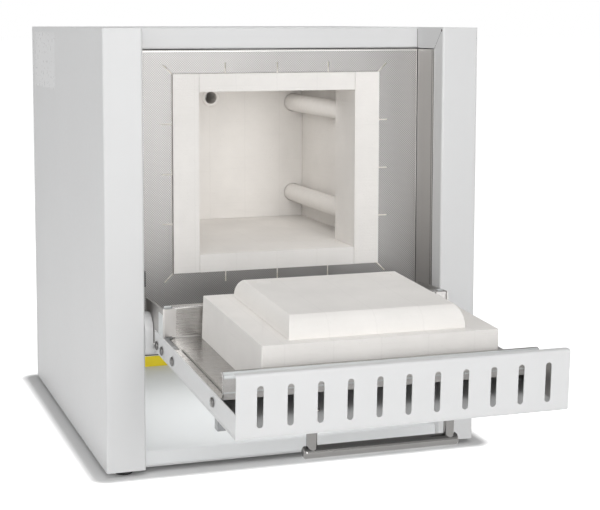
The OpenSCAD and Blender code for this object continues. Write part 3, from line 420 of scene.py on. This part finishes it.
class FurnaceLook(bpy.types.PropertyGroup):
    """Colours and finish sizes of the furnace."""
    paint_color: bpy.props.FloatVectorProperty(
        name="Paint", description="Colour of the powder-coated casing and door", subtype="COLOR",
        default=(0.722, 0.725, 0.727), min=0.0, max=1.0)
    # The compartment's paint is lighter than the casing paint: partly its own paint, partly painted light for its
    # brightly lit inside
    pan_color: bpy.props.FloatVectorProperty(
        name="Compartment", description="Colour of the lower compartment's paint", subtype="COLOR",
        default=(0.84, 0.852, 0.855), min=0.0, max=1.0)
    strip_color: bpy.props.FloatVectorProperty(
        name="Marker strip", description="Colour of the strip at the back of the compartment",
        subtype="COLOR", default=(0.95, 0.76, 0.014), min=0.0, max=1.0)
    steel_color: bpy.props.FloatVectorProperty(
        name="Stainless", description="Colour of the stainless sheets", subtype="COLOR",
        default=(0.43, 0.42, 0.41), min=0.0, max=1.0)
    brick_color: bpy.props.FloatVectorProperty(
        name="Brick", description="Colour of the insulation bricks", subtype="COLOR",
        default=(0.928, 0.903, 0.872), min=0.0, max=1.0)
    emboss_pitch: bpy.props.FloatProperty(
        name="Emboss pitch", description="Spacing of the dots on the front plate, in millimetres",
        default=3.0, min=0.5, max=5.0)


class FurnaceStudio(bpy.types.PropertyGroup):
    """Lamps, floor and camera."""
    world_level: bpy.props.FloatProperty(
        name="World level", description="Strength of the even light from all sides", default=0.27,
        min=0.0, max=3.0)
    front_level: bpy.props.FloatProperty(
        name="Front lamp", description="Power of the large lamp before the furnace", default=26.0, min=0.0,
        max=500.0, unit="POWER")
    side_level: bpy.props.FloatProperty(
        name="Side lamp", description="Power of the lamp to the left of the furnace", default=15.5, min=0.0,
        max=500.0, unit="POWER")
    top_level: bpy.props.FloatProperty(
        name="Top lamp", description="Power of the lamp above the furnace", default=16.0, min=0.0, max=500.0,
        unit="POWER")
    sheen_level: bpy.props.FloatProperty(
        name="Sheen lamp", description="Power of the tall lamp that the front plate mirrors", default=15.0,
        min=0.0, max=500.0, unit="POWER")
    chamber_level: bpy.props.FloatProperty(
        name="Chamber lamp", description="Power of the lamp under the roof of the chamber", default=0.098,
        min=0.0, max=20.0, unit="POWER")
    compartment_level: bpy.props.FloatProperty(
        name="Compartment lamp", description="Power of the lamp in the lower compartment", default=0.28,
        min=0.0, max=20.0, unit="POWER")
    focal_length: bpy.props.FloatProperty(
        name="Focal length", description="Focal length of the camera, in millimetres", default=86.7, min=20.0,
        max=200.0, subtype="DISTANCE_CAMERA")


# Operators: one for each piece or group of like pieces

class FURNACE_OT_finishes(bpy.types.Operator):
    """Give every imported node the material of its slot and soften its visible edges"""
    bl_idname = "furnace.finishes"
    bl_label = "Finishes"

    def execute(self, context):
        materials = make_finishes(context.scene.furnace_look)
        for name, piece in NODES.items():
            finish_of(piece, materials[slot_of(name)])
        for name, finish in OTHER_FINISHES.items():
            finish_of(NODES[name], materials[finish])
        for name, width in EDGES.items():
            soften(NODES[name], width)
        return {"FINISHED"}


class FURNACE_OT_fibre_gasket(bpy.types.Operator):
    """Add the fibre gasket that shows through the slits of the front plate"""
    bl_idname = "furnace.fibre_gasket"
    bl_label = "Fibre gasket"

    def execute(self, context):
        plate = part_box("front_plate")
        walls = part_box("chamber_wall_left")[0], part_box("chamber_wall_right")[1]
        front = plate[1].y + 0.03 * MM
        thickness = 0.21 * MM
        low = Vector((walls[0].x, front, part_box("chamber_floor")[0].z))
        high = Vector((walls[1].x, front + thickness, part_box("chamber_roof")[1].z))
        hole_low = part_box("collar_left")[0]
        hole_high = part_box("collar_right")[1]
        gap = 0.1 * MM
        bm = bmesh.new()
        add_box(bm, low, (hole_low.x - gap, high.y, high.z))
        add_box(bm, (hole_high.x + gap, low.y, low.z), high)
        add_box(bm, (hole_low.x - gap, low.y, hole_high.z + gap), (hole_high.x + gap, high.y, high.z))
        add_box(bm, (hole_low.x - gap, low.y, low.z), (hole_high.x + gap, high.y, hole_low.z - gap))
        mesh_piece("fibre_gasket", bm, bpy.data.materials["insulation_brick"], "cabinet")
        return {"FINISHED"}


class FURNACE_OT_niche_trim(bpy.types.Operator):
    """Add the folded beads of the stainless niche round the mouth, lighter as a painted highlight, and dark strips
    as painted shade along its hems and gaps
    """
    bl_idname = "furnace.niche_trim"
    bl_label = "Niche trim"

    def execute(self, context):
        plate_low, plate_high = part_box("front_plate")
        liner_low, liner_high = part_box("niche_liner_right")
        bead = 0.9 * MM
        gap = 0.7 * MM
        margin = 1.0 * MM
        proud_y = plate_low.y - 0.5 * bead
        # Painted highlight: the beads take the lighter fold steel
        bm = bmesh.new()
        sheet_strip(bm, (BAY - gap - bead, proud_y, plate_low.z + margin),
                    (BAY - gap, plate_low.y, plate_high.z - margin))
        mirrored(bm)
        top = plate_high.z - 1.5 * margin
        sheet_strip(bm, (gap + bead - BAY, proud_y, top - bead), (BAY - gap - bead, plate_low.y, top))
        mesh_piece("plate_beads", bm, bpy.data.materials["bright_fold"], "cabinet")

        # Painted shade: dark strips behind the bead, on both sides of the liner's folded front edge and beside the
        # fascia, stand for the shadow in the gaps
        proud = 0.12 * MM
        line = 1.0 * MM
        hem_width = 5.0 * MM
        hem_start = liner_low.y + 0.4 * MM
        bead_line = plate_low.y - 2.2 * line
        fascia_low, fascia_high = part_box("roof_panel")
        bm = bmesh.new()
        for depth in (hem_start, hem_start + hem_width, bead_line):
            add_box(bm, (BAY - proud, depth, liner_low.z + margin),
                    (BAY + proud, depth + line, liner_high.z - margin))
        add_box(bm, (BAY - gap, fascia_low.y - proud, fascia_low.z + margin),
                (BAY - 0.1 * MM, fascia_low.y + proud, fascia_high.z - 2 * margin))
        mirrored(bm)
        mesh_piece("niche_gaps", bm, bpy.data.materials["gap_shade"], "cabinet")
        return {"FINISHED"}


class FURNACE_OT_strip_gap(bpy.types.Operator):
    """Add a black strip as painted shade in the sheet joint above the marker strip"""
    bl_idname = "furnace.strip_gap"
    bl_label = "Strip gap"

    def execute(self, context):
        low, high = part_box("marker_strip")
        above = 0.8 * MM
        height = 1.8 * MM
        thickness = 0.2 * MM
        bm = bmesh.new()
        # Painted shade: the black strip stands for the shadow in the joint
        add_box(bm, (low.x, high.y - thickness, high.z + above), (high.x, high.y, high.z + above + height))
        mesh_piece("strip_gap", bm, bpy.data.materials["black_plastic"], "cabinet")
        return {"FINISHED"}


class FURNACE_OT_mitre_seams(bpy.types.Operator):
    """Add the welded mitre, and a black disc as painted shade for its relief hole, at the top of each pillar's
    return
    """
    bl_idname = "furnace.mitre_seams"
    bl_label = "Mitre seams"

    def execute(self, context):
        seam = 0.35 * MM
        proud = 0.05 * MM
        hole = 1.7 * MM
        from_front = 4.5 * MM
        from_top = 3.6 * MM
        liner_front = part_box("niche_liner_right")[0].y
        plate_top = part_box("front_plate")[1].z
        front = Vector((BAY, PILLAR_Y + from_front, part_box("casing_right")[1].z - from_top))
        back = Vector((BAY, liner_front - MM, plate_top + MM))
        along = back - front
        across = Vector((0.0, -along.z, along.y)).normalized() * seam / 2
        bm = bmesh.new()
        ends = [front - across, front + across, back + across, back - across]
        outer = [bm.verts.new(point - Vector((proud, 0.0, 0.0))) for point in ends]
        inner = [bm.verts.new(point + Vector((proud, 0.0, 0.0))) for point in ends]
        bm.faces.new(outer)
        bm.faces.new(inner)
        for k in range(4):
            bm.faces.new((outer[k], outer[(k + 1) % 4], inner[(k + 1) % 4], inner[k]))
        # Painted shade: the relief hole is a black disc that stands for the dark inside of the hole
        profile = [(-proud, 0.0), (-proud, hole), (proud, hole), (proud * 1.2, 0.0)]
        add_lathe(bm, front, (-1.0, 0.0, 0.0), profile, 20)
        mirrored(bm)
        mesh_piece("mitre_seams", bm, bpy.data.materials["black_aluminium"], "cabinet")
        return {"FINISHED"}


class FURNACE_OT_arm_posts(bpy.types.Operator):
    """Add the hinge arms' folded posts in darkened steel as painted shade, their tabs in white as a painted
    highlight, edge strips, and the hems along the tray's floor
    """
    bl_idname = "furnace.arm_posts"
    bl_label = "Arm posts and tray hems"

    def execute(self, context):
        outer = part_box("hinge_arm_right")[1].x
        sheet = 0.8 * MM
        tray_depth = 24 * MM
        post_left = outer - 14.5 * MM
        post_right = outer - 3.5 * MM
        post_up = 55.4 * MM
        tab_depth = 47 * MM
        tab_height = 14 * MM

        strip_low = Vector((outer, 25 * MM, 46 * MM))
        strip_size = Vector((0.6 * MM, 27 * MM, 19 * MM))
        bm = bmesh.new()
        # Painted highlight: the tabs are white for the bright light on their tops
        sheet_strip(bm, (post_left, tab_depth, post_up),
                    (post_right, tab_depth + tab_height, post_up + sheet))
        sheet_strip(bm, strip_low, strip_low + strip_size)
        mirrored(bm)
        door_piece("arm_tabs", bm, "white_paint")

        # Painted shade: the posts take the darkened fold steel
        bm = bmesh.new()
        sheet_strip(bm, (post_left, tray_depth, post_up), (post_right, tab_depth, post_up + sheet))
        mirrored(bm)
        door_piece("arm_posts", bm, "dark_fold")

        end_width = 3.5 * MM
        end_top = tab_depth + 12 * MM
        bm = bmesh.new()
        sheet_strip(bm, (post_left - end_width, tray_depth, post_up - 0.5 * MM),
                    (post_left, end_top, post_up))
        mirrored(bm)
        door_piece("tray_wall_ends", bm, "stainless_sheet")

        hem_x = outer - 9.5 * MM
        hem_width = 2.2 * MM
        hem_start = 116 * MM
        hem_end = 300 * MM
        bm = bmesh.new()
        sheet_strip(bm, (hem_x - hem_width, tray_depth - 1.1 * MM, hem_start),
                    (hem_x, tray_depth + 0.4 * MM, hem_end))
        mirrored(bm)
        door_piece("tray_hems", bm, "stainless_sheet")
        return {"FINISHED"}


class FURNACE_OT_tray_front(bpy.types.Operator):
    """Add the roll, skin and bead of the tray's front wall, lightened as painted reflection and highlight, the
    corner cheek and the handle's inner screws
    """
    bl_idname = "furnace.tray_front"
    bl_label = "Tray front"

    def execute(self, context):
        tray = shut_box("door_tray")
        reach = tray[1].x - 3.5 * MM
        wall_up = tray[1].z
        skin_start = 23.5 * MM
        bend_depth = 45.5 * MM
        bend_r = 6.5 * MM
        clear = 0.02 * MM
        skin = 0.3 * MM
        bend_up = wall_up - bend_r
        inner_up = wall_up + clear
        outer_up = inner_up + skin
        turns = [math.radians(90 - 10 * k) for k in range(8)]

        def arc(radius):
            return [(bend_depth + radius * math.cos(turn), bend_up + radius * math.sin(turn))
                    for turn in turns]

        # Painted reflection: the stainless roll is covered in white paint for the bright surroundings it mirrors
        bm = bmesh.new()
        profile_strip(bm, [*arc(outer_up - bend_up), *reversed(arc(inner_up - bend_up))], -reach, reach)
        door_piece("tray_roll", bm, "white_paint")

        # Painted light: the skin over the flat wall takes the lighter fold steel
        bm = bmesh.new()
        sheet_strip(bm, (-reach, skin_start, inner_up), (reach, bend_depth, outer_up))
        door_piece("tray_skin", bm, "satin_fold")

        # Painted highlight: the bead is a white line along the wall
        bead_depth = 30.0 * MM
        bead_width = 1.5 * MM
        bead_proud = 0.6 * MM
        bm = bmesh.new()
        sheet_strip(bm, (-reach, bead_depth, inner_up),
                    (reach, bead_depth + bead_width, outer_up + bead_proud))
        door_piece("tray_bead", bm, "white_paint")

        cheek_x = tray[1].x
        cheek_t = 0.8 * MM
        panel_up = shut_box("door_shell")[1].z - 1.6 * MM
        bm = bmesh.new()
        sheet_strip(bm, (cheek_x - cheek_t, 3 * MM, wall_up + 1.5 * MM), (cheek_x, 50 * MM, panel_up))
        door_piece("corner_cheek", bm, "satin_fold")

        screw_at = (76 * MM, 1.25 * MM, 303 * MM)
        head = [(0.0, 0.0), (0.0, 3.4 * MM), (1.2 * MM, 3.2 * MM), (2.2 * MM, 2.2 * MM), (2.7 * MM, 0.0)]
        bm = bmesh.new()
        add_lathe(bm, screw_at, (0.0, 1.0, 0.0), head, 24)
        mirrored(bm)
        door_piece("handle_screws", bm, "screw_steel", True)
        return {"FINISHED"}


# Reach of the painted contact shadow beyond the cabinet: still full, and gone
SHADE_FULL = 0.012
SHADE_END = 0.034
# Floor: how far it reaches, and its thickness
FLOOR_REACH = 40.0
FLOOR_T = 0.02
# Floor: colour of the light it gives back, colour and glow where it is seen, and its colour in that painted shadow
FLOOR_COLOR = (0.8, 0.8, 0.8)
SEEN_COLOR = (0.75, 0.75, 0.75)
SEEN_GLOW = 0.62
SHADE_COLOR = (0.79, 0.79, 0.79)
# Room that metal mirrors: upward slopes between which it darkens, and the level it reaches
CEILING_START = 0.30
CEILING_END = 0.75
CEILING_LEVEL = 0.12


def stage_material(name):
    """Floor: plain for the light it gives back, near white where the camera or metal sees it, with a painted
    contact shadow round the cabinet.
    """
    material = bpy.data.materials.new(name)
    material.use_nodes = True
    tree = material.node_tree
    tree.nodes.clear()

    def diffuse(level):
        made = tree.nodes.new("ShaderNodeBsdfDiffuse")
        made.inputs["Color"].default_value = (*level, 1.0)
        return made.outputs[0]

    def added(first, second):
        made = tree.nodes.new("ShaderNodeAddShader")
        tree.links.new(first, made.inputs[0])
        tree.links.new(second, made.inputs[1])
        return made.outputs[0]

    light = tree.nodes.new("ShaderNodeEmission")
    light.inputs["Strength"].default_value = SEEN_GLOW
    seen = added(added(diffuse(SEEN_COLOR), diffuse(SEEN_COLOR)), light.outputs[0])
    shaded = tree.nodes.new("ShaderNodeMixShader")
    tree.links.new(painted_contact_shadow(tree), shaded.inputs["Fac"])
    tree.links.new(seen, shaded.inputs[1])
    tree.links.new(diffuse(SHADE_COLOR), shaded.inputs[2])
    seen = shaded.outputs[0]
    choose = tree.nodes.new("ShaderNodeMixShader")
    tree.links.new(any_seen_ray(tree), choose.inputs["Fac"])
    tree.links.new(diffuse(FLOOR_COLOR), choose.inputs[1])
    tree.links.new(seen, choose.inputs[2])
    out = tree.nodes.new("ShaderNodeOutputMaterial")
    tree.links.new(choose.outputs[0], out.inputs["Surface"])
    return material


def painted_contact_shadow(tree):
    """Mask of the painted contact shadow: 1 on the floor under the cabinet, fading out just beyond its edges, as a
    soft contact shadow does.
    """
    low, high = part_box("chassis_plate")
    centre = (low + high) / 2
    half = (high - low) / 2

    def math_node(operation, *inputs):
        made = tree.nodes.new("ShaderNodeMath")
        made.operation = operation
        for socket, value in zip(made.inputs, inputs):
            if isinstance(value, bpy.types.NodeSocket):
                tree.links.new(value, socket)
            else:
                socket.default_value = value
        return made.outputs[0]

    split = tree.nodes.new("ShaderNodeSeparateXYZ")
    tree.links.new(tree.nodes.new("ShaderNodeTexCoord").outputs["Object"], split.inputs[0])
    beyond = []
    for axis, middle, reach in (("X", centre.x, half.x), ("Y", centre.y, half.y)):
        away = math_node("ABSOLUTE", math_node("SUBTRACT", split.outputs[axis], middle))
        beyond.append(math_node("MAXIMUM", math_node("SUBTRACT", away, reach), 0.0))
    distance = math_node("SQRT", math_node("ADD", math_node("POWER", beyond[0], 2.0),
                                           math_node("POWER", beyond[1], 2.0)))
    fade = tree.nodes.new("ShaderNodeMapRange")
    fade.interpolation_type = "SMOOTHSTEP"
    tree.links.new(distance, fade.inputs["Value"])
    fade.inputs["From Min"].default_value = SHADE_FULL
    fade.inputs["From Max"].default_value = SHADE_END
    fade.inputs["To Min"].default_value = 1.0
    fade.inputs["To Max"].default_value = 0.0
    return fade.outputs["Result"]


def any_seen_ray(tree):
    """1 for rays from the camera, or reflected or let through by a smooth surface."""
    path = tree.nodes.new("ShaderNodeLightPath")
    total = path.outputs["Is Camera Ray"]
    for name in ("Is Glossy Ray", "Is Transmission Ray"):
        joined = tree.nodes.new("ShaderNodeMath")
        joined.operation = "MAXIMUM"
        tree.links.new(total, joined.inputs[0])
        tree.links.new(path.outputs[name], joined.inputs[1])
        total = joined.outputs[0]
    return total


def ceiling_level(tree):
    """Brightness of the room that metal mirrors: white round the furnace, grey high above it."""
    split = tree.nodes.new("ShaderNodeSeparateXYZ")
    tree.links.new(tree.nodes.new("ShaderNodeTexCoord").outputs["Generated"], split.inputs[0])
    fade = tree.nodes.new("ShaderNodeMapRange")
    fade.interpolation_type = "SMOOTHSTEP"
    tree.links.new(split.outputs["Z"], fade.inputs["Value"])
    fade.inputs["From Min"].default_value = CEILING_START
    fade.inputs["From Max"].default_value = CEILING_END
    fade.inputs["To Min"].default_value = 1.0
    fade.inputs["To Max"].default_value = CEILING_LEVEL
    return fade.outputs["Result"]


def area_lamp(name, place, target, size, power):
    """Rectangular lamp that points at a target."""
    data = bpy.data.lights.new(name, "AREA")
    data.shape = "RECTANGLE"
    data.size, data.size_y = size
    data.energy = power
    lamp = bpy.data.objects.new(name, data)
    lamp.location = place
    lamp.rotation_euler = (Vector(target) - Vector(place)).to_track_quat("-Z", "Y").to_euler()
    lamp.visible_camera = False
    bpy.context.scene.collection.objects.link(lamp)


# Lamps: place, target, width and height
LAMPS = {
    "front": ((-0.75, -3.0, 1.0), (0.0, 0.0, 0.3), (2.2, 1.6)),
    "side": ((-2.6, -0.6, 0.9), (0.0, 0.0, 0.3), (1.6, 1.6)),
    "top": ((0.0, -0.6, 2.6), (0.0, -0.1, 0.3), (2.0, 2.0)),
    "sheen": ((0.25, -2.6, 0.62), (0.0, 0.0, 0.35), (0.5, 1.3)),
    "chamber": ((0.0, 0.14, 0.455), (0.0, 0.16, 0.2), (0.2, 0.2)),
    "compartment": ((0.0, 0.07, 0.138), (0.0, 0.08, 0.0), (0.36, 0.30)),
}
# Camera: where it stands, how it is turned, and how far its picture is shifted
CAMERA_AT = (-0.5921, -1.7888, 0.5543)
CAMERA_YAW = math.radians(-18.184)
CAMERA_DOWN = math.radians(5.69)
CAMERA_SHIFT = (0.0519, -0.15)


class FURNACE_OT_studio(bpy.types.Operator):
    """Set up the floor, the world, the lamps and the camera"""
    bl_idname = "furnace.studio"
    bl_label = "Studio"

    def execute(self, context):
        scene = context.scene
        studio = scene.furnace_studio
        scene.view_settings.view_transform = "Standard"
        bm = bmesh.new()
        add_box(bm, (-FLOOR_REACH, -FLOOR_REACH, FLOOR_Z - FLOOR_T), (FLOOR_REACH, FLOOR_REACH, FLOOR_Z))
        mesh = bpy.data.meshes.new("floor")
        bm.to_mesh(mesh)
        bm.free()
        floor = bpy.data.objects.new("floor", mesh)
        scene.collection.objects.link(floor)
        mesh.materials.append(stage_material("floor"))

        world = bpy.data.worlds.new("studio")
        scene.world = world
        world.use_nodes = True
        tree = world.node_tree
        base = tree.nodes["Background"]
        level = tree.nodes.new("ShaderNodeMapRange")
        tree.links.new(any_seen_ray(tree), level.inputs["Value"])
        level.inputs["To Min"].default_value = studio.world_level
        tree.links.new(ceiling_level(tree), level.inputs["To Max"])
        base.inputs["Color"].default_value = (1.0, 1.0, 1.0, 1.0)
        tree.links.new(level.outputs["Result"], base.inputs["Strength"])

        for name, (place, target, size) in LAMPS.items():
            area_lamp(f"{name}_lamp", place, target, size, getattr(studio, f"{name}_level"))

        data = bpy.data.cameras.new("camera")
        data.lens = studio.focal_length
        data.sensor_width = 36.0
        data.shift_x, data.shift_y = CAMERA_SHIFT
        data.clip_start, data.clip_end = 0.05, 50.0
        camera = bpy.data.objects.new("camera", data)
        camera.location = CAMERA_AT
        camera.rotation_euler = (math.pi / 2 - CAMERA_DOWN, 0.0, CAMERA_YAW)
        scene.collection.objects.link(camera)
        scene.camera = camera
        return {"FINISHED"}


class FURNACE_PT_panel(bpy.types.Panel):
    """Sidebar panel with the furnace's steps"""
    bl_idname = "FURNACE_PT_panel"
    bl_label = "Dental Lab Furnace"
    bl_space_type = "VIEW_3D"
    bl_region_type = "UI"
    bl_category = "Furnace"

    def draw(self, context):
        for group in (context.scene.furnace_look, context.scene.furnace_studio):
            for name in group.__annotations__:
                self.layout.prop(group, name)
        for step in STEPS:
            self.layout.operator(step.bl_idname)


STEPS = (FURNACE_OT_studio, FURNACE_OT_finishes, FURNACE_OT_fibre_gasket, FURNACE_OT_niche_trim,
         FURNACE_OT_strip_gap, FURNACE_OT_mitre_seams, FURNACE_OT_arm_posts, FURNACE_OT_tray_front)
CLASSES = (FurnaceLook, FurnaceStudio, *STEPS, FURNACE_PT_panel)


def register():
    for kind in CLASSES:
        bpy.utils.register_class(kind)
    bpy.types.Scene.furnace_look = bpy.props.PointerProperty(type=FurnaceLook)
    bpy.types.Scene.furnace_studio = bpy.props.PointerProperty(type=FurnaceStudio)


def unregister():
    del bpy.types.Scene.furnace_studio
    del bpy.types.Scene.furnace_look
    for kind in reversed(CLASSES):
        bpy.utils.unregister_class(kind)


def main():
    register()
    for step in STEPS:
        group, name = step.bl_idname.split(".")
        getattr(getattr(bpy.ops, group), name)()


if __name__ == "__main__":
    main()
